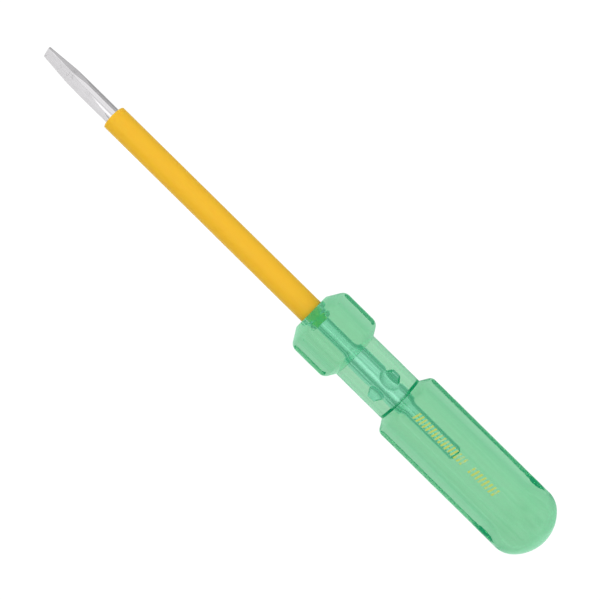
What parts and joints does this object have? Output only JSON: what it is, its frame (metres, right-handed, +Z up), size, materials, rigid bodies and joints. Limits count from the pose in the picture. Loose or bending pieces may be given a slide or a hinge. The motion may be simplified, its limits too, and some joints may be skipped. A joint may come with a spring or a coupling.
{
  "type": "insulated flat screwdriver",
  "caption": "Insulated flat-blade screwdriver: a steel blade in a yellow plastic sleeve, set in a clear green fluted handle with a collar, a finger neck and a domed end.",
  "frame": {"origin": "on the tool's axis, at the flat front face of the handle where the insulated shank leaves it", "axes": "+X along the shank towards the tip, +Z up through the middle of one flute, +Y completes the right-handed frame; the tool lies along X as it rests on a bench"},
  "size_m": [0.235, 0.026, 0.026],
  "materials": {
    "blade_steel": "satin",
    "sleeve_plastic": "gloss",
    "handle_plastic": "gloss"
  },
  "bodies": {
    "root": {"blade": "blade_steel", "insulating_sleeve": "sleeve_plastic", "handle": "handle_plastic"}
  },
  "joints": []
}
